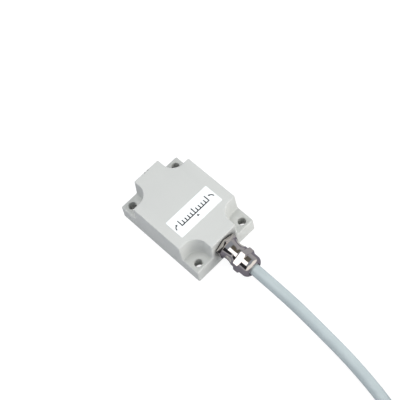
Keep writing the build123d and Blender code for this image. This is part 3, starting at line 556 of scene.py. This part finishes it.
waist = arc((0.0085, 0.0042), (0.0076, 0.0088), (0.0085, 0.0134), 14)
bead = [(0.00852, 0.01348), (0.0087, 0.0139), (0.0087, 0.0160), (0.00862, 0.01632), (0.0084, 0.0165)]
shape = spun([
    (0.0050, -0.0085), (0.0077, -0.0085), (0.0080, -0.0082), (0.0080, 0.0008), (0.0103, 0.0008),
    (0.01059, 0.0010), (0.01059, 0.0037), (0.0101, 0.0042), *waist, *bead, (0.0071, 0.0165),
    (0.0071, 0.0228), (0.0069, 0.0230), (0.0063, 0.0230), (0.0063, 0.0110), (0.0050, 0.0110)])
milled(shape, FLANGE_TURN)
tooth = [shape.verts.new((r, 0.0, THREAD_START + s)) for r, s in THREAD_TOOTH]
sides = [shape.edges.new(pair) for pair in zip(tooth, tooth[1:] + tooth[:1])]
thread = bmesh.ops.spin(
    shape, geom=tooth + sides, angle=2 * pi * THREAD_TURNS, steps=int(THREAD_STEPS * THREAD_TURNS),
    axis=(0, 0, 1), cent=(0, 0, 0), dvec=(0, 0, THREAD_PITCH / THREAD_STEPS))["geom_last"]
bmesh.ops.edgeloop_fill(shape, edges=sides)
bmesh.ops.edgeloop_fill(shape, edges=[g for g in thread if isinstance(g, bmesh.types.BMEdge)])
bmesh.ops.transform(shape, matrix=gland_place, verts=shape.verts)
bmesh.ops.recalc_face_normals(shape, faces=shape.faces)
gland = finished("gland_fitting", shape, nickel_finish, "sensor", "gland_nickel", "gland_body")
eased(gland, EASED_EDGE, EASED_ANGLE)

# The cap nut: the same plated brass. It screws on to the gland body and squeezes the clamping
# fingers on to the cable through its inner cone. Its nose is domed round the cable's mouth.
COLLAR_TURN = -5.0
dome = arc((0.0089, 0.0261), (0.00825, 0.02853), (0.0063, 0.0303), 12)
shape = spun([
    (0.00785, 0.0169), (0.0099, 0.0169), (0.01059, 0.0173), (0.01059, 0.0209), (0.0096, 0.0215),
    (0.0089, 0.0219), *dome, (0.0054, 0.0303), (0.0050, 0.0300), (0.0050, 0.0289), (0.00645, 0.0263),
    (0.00785, 0.0263)])
milled(shape, COLLAR_TURN)
bmesh.ops.transform(shape, matrix=gland_place, verts=shape.verts)
nut = finished("gland_cap_nut", shape, nickel_finish, "nut", "gland_nickel", "cap_nut")
eased(nut, EASED_EDGE, EASED_ANGLE)

# The rubber parts: a flat ring between flange and wall, and the sleeve that grips the cable.
RUBBER_COLOUR = (0.018, 0.018, 0.019)
RUBBER_BLOOM = (0.05, 0.05, 0.05)
rubber_finish, tree, shader, place = new_finish("gasket_rubber", RUBBER_COLOUR, 0.6)
bloom = noise(tree, place, 600.0)
plug_in(tree, shader, "Base Color", bloom.over(0.5, 0.8).between(RUBBER_COLOUR, RUBBER_BLOOM))
plug_in(tree, shader, "Roughness", bloom * 0.2 + 0.5)
plug_in(tree, shader, "Normal", bump(tree, bloom, 0.00004))
give(rubber_finish, "gland_gasket", "cable_seal")

# The clamping insert and the slip ring: natural polyamide, injection moulded.
NYLON_COLOUR = (0.66, 0.64, 0.56)
NYLON_SHADE = (0.60, 0.58, 0.50)
nylon_finish, tree, shader, place = new_finish("clamp_nylon", NYLON_COLOUR, 0.42)
milky = noise(tree, place, 240.0)
plug_in(tree, shader, "Base Color", milky.over(0.3, 0.7).between(NYLON_COLOUR, NYLON_SHADE))
plug_in(tree, shader, "Roughness", milky * 0.2 + 0.34)
shader.inputs["Subsurface Weight"].default_value = 0.15
shader.inputs["Subsurface Scale"].default_value = 0.001
give(nylon_finish, "clamp_insert", "thrust_ring")

# The cable inside the gland: its jacket, and the tinned braid folded back at its end.
BRAID_COLOUR = (0.60, 0.55, 0.50)
give(cable_finish, "cable_jacket")
braid_finish, tree, shader, place = new_finish("shield_braid", BRAID_COLOUR, 0.35, 1.0)
wound = stretched(tree, place, (1.0, 0.4, 1.0))
strands = Tone.node(tree, "ShaderNodeTexVoronoi", {}, {"Vector": wound, "Scale": 2600.0}, "Distance")
plug_in(tree, shader, "Normal", bump(tree, strands, 0.0001))
plug_in(tree, shader, "Roughness", strands * 0.3 + 0.25)
give(braid_finish, "cable_shield")

# The circuit board: glass laminate under green solder resist, through which the copper shows.
RESIST_COLOUR = (0.012, 0.11, 0.045)
RESIST_ON_COPPER = (0.035, 0.19, 0.075)
board_finish, tree, shader, place = new_finish("board_laminate", RESIST_COLOUR, 0.3)
copper = Tone.node(
    tree, "ShaderNodeTexVoronoi", {"distance": "CHEBYCHEV"}, {"Vector": place, "Scale": 420.0}, "Distance")
plug_in(tree, shader, "Base Color", copper.over(0.35, 0.4).between(RESIST_COLOUR, RESIST_ON_COPPER))
plug_in(tree, shader, "Roughness", noise(tree, place, 900.0) * 0.2 + 0.22)
plug_in(tree, shader, "Normal", bump(tree, copper.over(0.35, 0.4), 0.00003))
give(board_finish, "circuit_board")

# The board's metal parts: four screws, the solder mounds, the crystal's can, the capacitor's can
# and the lid of the sensing element, each in its own metal.
BOARD_METALS = {
    "board_screws": ((0.55, 0.56, 0.58), 0.30), "solder_joints": ((0.62, 0.62, 0.61), 0.28),
    "quartz_crystal": ((0.66, 0.64, 0.60), 0.20), "buffer_capacitor": ((0.74, 0.74, 0.75), 0.32),
    "sensor_chip": ((0.56, 0.52, 0.46), 0.30)}
for node_name, (colour, rough) in BOARD_METALS.items():
    metal_finish, tree, shader, place = new_finish(node_name + "_metal", colour, rough, 1.0)
    brushed = noise(tree, stretched(tree, place, (1.0, 9.0, 1.0)), 1300.0, 3.0, 0.6)
    dull = tuple(0.85 * c for c in colour)
    plug_in(tree, shader, "Base Color", brushed.over(0.3, 0.8).between(colour, dull))
    plug_in(tree, shader, "Roughness", brushed * 0.2 + (rough - 0.1))
    plug_in(tree, shader, "Normal", bump(tree, brushed, 0.00002))
    give(metal_finish, node_name)

# The board's moulded parts: chip packages and diodes in black compound, the chip resistors with
# their black glaze, the inductor's ferrite and the tan ceramic of the chip capacitors.
BOARD_BODIES = {
    "microcontroller": ((0.022, 0.022, 0.024), 0.5), "interface_driver": ((0.024, 0.023, 0.024), 0.5),
    "voltage_regulator": ((0.020, 0.021, 0.023), 0.45), "surge_diodes": ((0.025, 0.024, 0.024), 0.42),
    "chip_resistors": ((0.020, 0.020, 0.024), 0.25), "inductor": ((0.060, 0.060, 0.064), 0.6),
    "chip_capacitors": ((0.30, 0.20, 0.115), 0.4)}
for node_name, (colour, rough) in BOARD_BODIES.items():
    body_finish, tree, shader, place = new_finish(node_name + "_body", colour, rough)
    mould = noise(tree, place, 3000.0, 2.0)
    pale = tuple(1.3 * c + 0.01 for c in colour)
    plug_in(tree, shader, "Base Color", mould.over(0.4, 0.8).between(colour, pale))
    plug_in(tree, shader, "Roughness", mould * 0.2 + (rough - 0.1))
    plug_in(tree, shader, "Normal", bump(tree, mould, 0.00003))
    give(body_finish, node_name)

# The light: a white bench under two soft lamps, above it and in front on the right. The plating
# shows a long white card high up behind, a white screen in front, a black curtain on the left and a
# brown one high up behind. An edge of these is a pair of places along the heading from the bench.
FLOOR_HALF = 3.0
FLOOR_DROP = 0.00005
FLOOR_WHITE = (0.90, 0.90, 0.90)
FLOOR_SEEN = (0.20, 0.20, 0.20)
FLOOR_GLOW = (0.87, 0.87, 0.87)
FLOOR_MIRRORED = (0.22, 0.21, 0.25)
HAZE_COLOUR = (0.50, 0.50, 0.53)
CEILING_COLOUR = (0.36, 0.39, 0.44)
CURTAIN_BLACK = (0.028, 0.028, 0.034)
CURTAIN_BROWN = (0.150, 0.135, 0.110)
SCREEN_WHITE = (1.25, 1.22, 1.17)
ROOM_LIGHT = (0.53, 0.565, 0.62)
ROOM_SEEN = (0.93, 0.93, 0.93)
CEILING_HEIGHT = (0.45, 0.75)
BROWN_LEAN = 0.45
BROWN_FOOT = (0.80, 0.90)
BROWN_FRONT = (0.16, 0.26)
BLACK_RIGHT = (-0.60, -0.50)
BLACK_FOOT = (0.18, 0.26)
BLACK_HEAD = (0.70, 0.78)
SCREEN_BACK = (-0.42, -0.34)
SCREEN_FOOT = (0.00, 0.05)
SCREEN_HEAD = (0.76, 0.82)
scene.view_settings.view_transform = "Standard"
scene.view_settings.look = "None"
floor_mesh = bpy.data.meshes.new("floor")
shape = bmesh.new()
bmesh.ops.create_grid(shape, x_segments=1, y_segments=1, size=FLOOR_HALF)
bmesh.ops.translate(shape, verts=shape.verts, vec=(0, 0, -FLOOR_DROP))
shape.to_mesh(floor_mesh)
shape.free()
floor = bpy.data.objects.new("floor", floor_mesh)
scene.collection.objects.link(floor)
floor_finish, tree, shader, place = new_finish("floor", FLOOR_WHITE, 0.7)
# Seen straight on, the floor glows evenly white with a faint shadow. In the plating it shows dark mauve grey:
# painted shade, the floor as if in shadow under the gland. To the lamps' bounce it is plain white.
seen = Tone.node(tree, "ShaderNodeLightPath", {}, {}, "Is Camera Ray")
mirrored = Tone.node(tree, "ShaderNodeLightPath", {}, {}, "Is Glossy Ray")
plain = mirrored.between(FLOOR_WHITE, FLOOR_MIRRORED)
plug_in(tree, shader, "Base Color", seen.between(plain, FLOOR_SEEN))
plug_in(tree, shader, "Emission Color", seen.between((0.0, 0.0, 0.0), FLOOR_GLOW))
shader.inputs["Specular IOR Level"].default_value = 0.1
shader.inputs["Emission Strength"].default_value = 1.0
floor_mesh.materials.append(floor_finish)

world = bpy.data.worlds.new("studio")
world.use_nodes = True
tree = world.node_tree
heading = Tone.node(tree, "ShaderNodeTexCoord", {}, {}, "Generated")
sideways, depthways, height = [
    Tone.node(tree, "ShaderNodeSeparateXYZ", {}, {0: heading}, axis) for axis in "XYZ"]
mirrored = Tone.node(tree, "ShaderNodeLightPath", {}, {}, "Is Glossy Ray")
seen = Tone.node(tree, "ShaderNodeLightPath", {}, {}, "Is Camera Ray")
brown_curtain = (height + depthways * BROWN_LEAN).over(*BROWN_FOOT) * depthways.over(*BROWN_FRONT)
black_curtain = (1 - sideways.over(*BLACK_RIGHT)) * height.within(BLACK_FOOT, BLACK_HEAD)
white_screen = (1 - depthways.over(*SCREEN_BACK)) * height.within(SCREEN_FOOT, SCREEN_HEAD)
room = height.over(*CEILING_HEIGHT).between(HAZE_COLOUR, CEILING_COLOUR)
room = brown_curtain.between(room, CURTAIN_BROWN)
room = black_curtain.between(room, CURTAIN_BLACK)
room = white_screen.between(room, SCREEN_WHITE)
room = mirrored.between(ROOM_LIGHT, room)
room = seen.between(room, ROOM_SEEN)
tree.links.new(room.socket, tree.nodes["Background"].inputs["Color"])
scene.world = world


def panel(name, spot, aim, width, depth, power, colour, lights_up, mirrors):
    """Rectangular lamp. It lights matt surfaces, or shows in bright ones, or both."""
    data = bpy.data.lights.new(name, "AREA")
    data.shape = "RECTANGLE"
    data.size = width
    data.size_y = depth
    data.energy = power
    data.color = colour
    lamp = bpy.data.objects.new(name, data)
    lamp.location = spot
    lamp.rotation_euler = (Vector(aim) - Vector(spot)).to_track_quat("-Z", "Y").to_euler()
    lamp.visible_camera = False
    lamp.visible_diffuse = lights_up
    lamp.visible_glossy = mirrors
    scene.collection.objects.link(lamp)


panel("top_lamp", (-0.05, 0.20, 1.20), (0, 0, 0), 0.8, 0.8, 7.4, (1.0, 0.985, 0.955), True, False)
panel("front_lamp", (0.42, -0.90, 0.40), (0, 0, 0), 1.0, 0.5, 8.0, (1.0, 0.98, 0.94), True, False)
panel("long_card", (-0.46, 1.05, 0.90), (-0.46, 1.05, 0), 0.68, 1.90, 9.0, (1.0, 0.99, 0.98), False, True)
